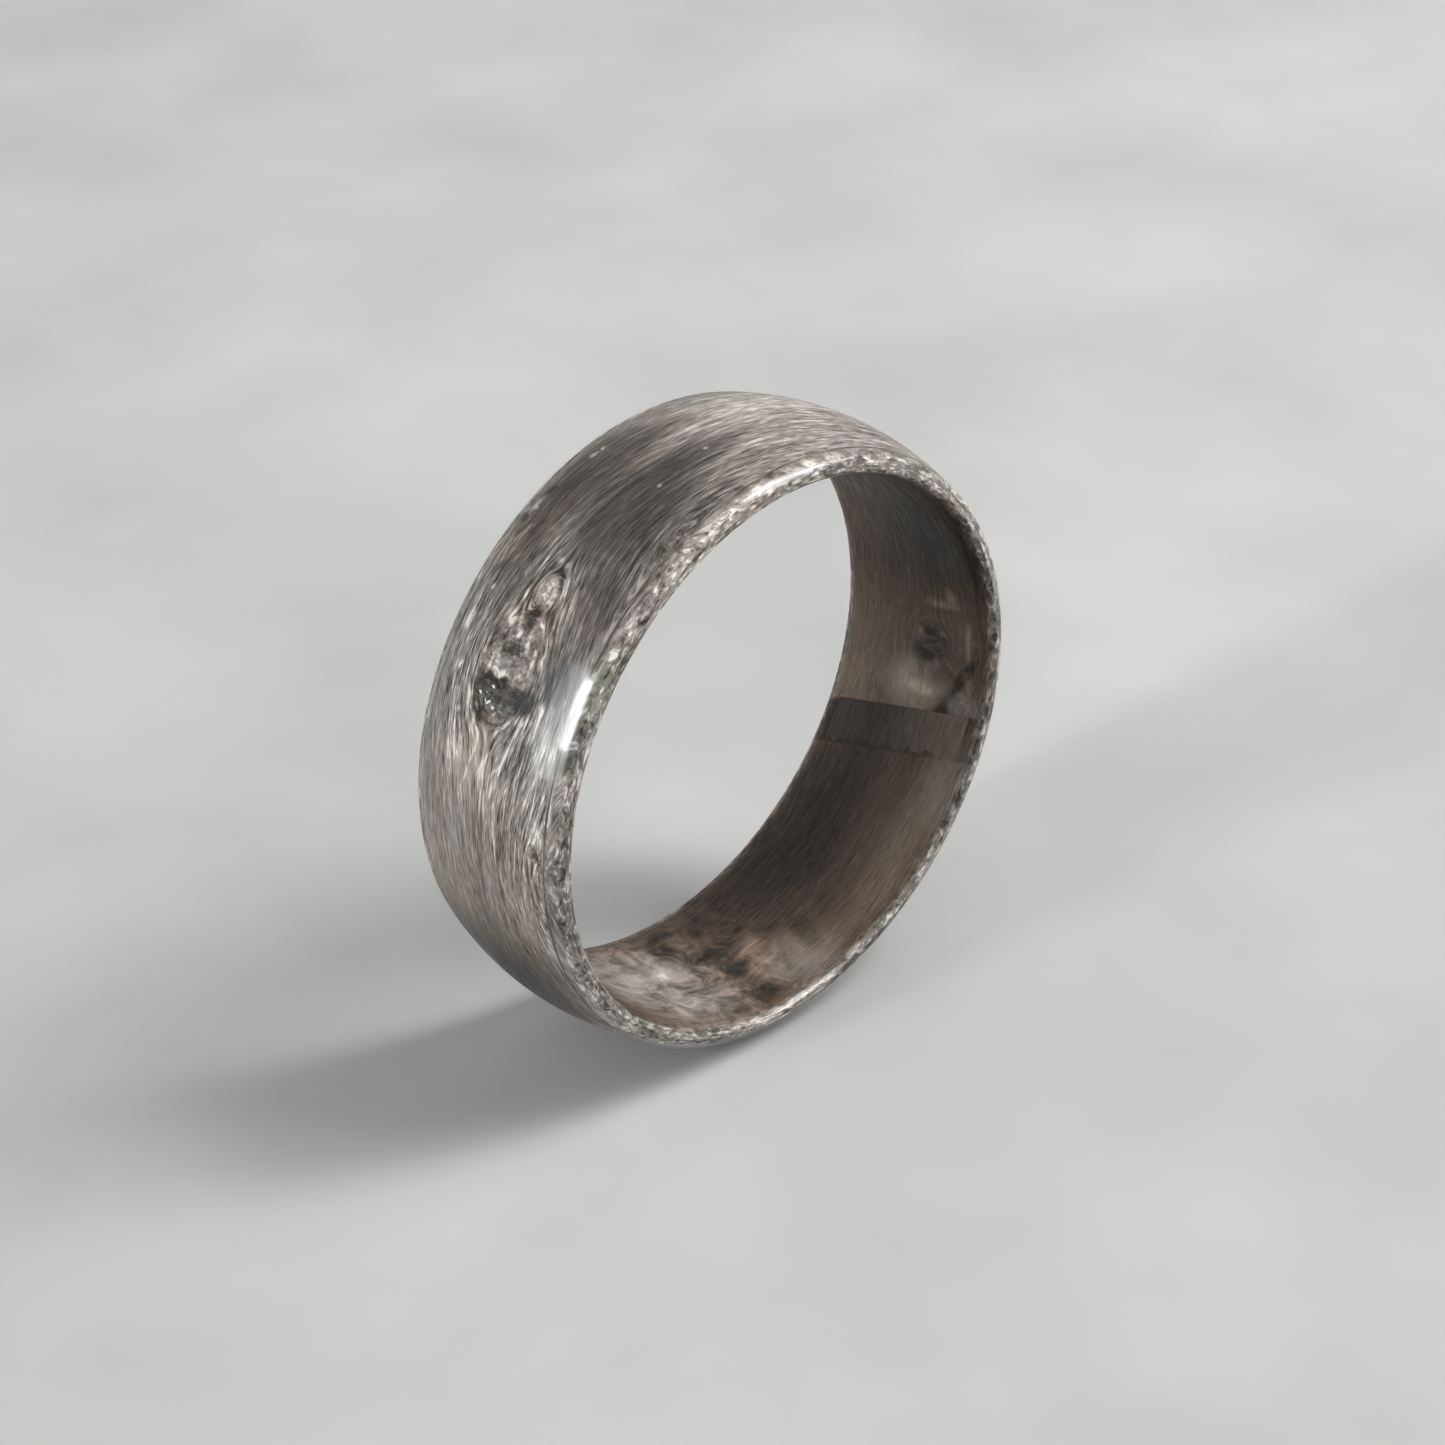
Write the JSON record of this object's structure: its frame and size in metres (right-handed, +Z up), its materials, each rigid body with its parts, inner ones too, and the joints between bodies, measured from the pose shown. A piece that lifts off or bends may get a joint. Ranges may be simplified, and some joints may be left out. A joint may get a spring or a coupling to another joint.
{
  "type": "wedding band",
  "caption": "Bentwood wedding band: a grey weathered veneer strip wound in a spiral and bonded, low-domed, with filled knots, under clear coats.",
  "frame": {"origin": "centre of the ring: on the axis of the finger hole, halfway across the band", "axes": "+Y along the finger hole, +Z up with the band standing on its rim, +X to the side; the strip's inner end is 20 degrees below +X"},
  "size_m": [0.022, 0.007, 0.022],
  "materials": {
    "grey_wood": "weathered grey-brown, fine straight grain bending round knots, under a clear coat",
    "glue": "hardened cyanoacrylate stained by the wood, a thin dark line",
    "wood_dust_filler": "wood dust set in cyanoacrylate, sanded flush",
    "dark_filler": "grey-black knot filler with a few tiny pale flecks, sanded flush",
    "clear_coat": "clear hard cyanoacrylate coat, polished to a high gloss"
  },
  "bodies": {
    "root": {"veneer_strip": "grey_wood", "glue_film": "glue", "inner_end_fill": "wood_dust_filler", "outer_end_fill": "wood_dust_filler", "knot_fill_large": "dark_filler", "knot_fill_small": "dark_filler", "knot_fill_bore": "dark_filler", "outer_coat": "clear_coat", "bore_coat": "clear_coat"}
  },
  "joints": []
}
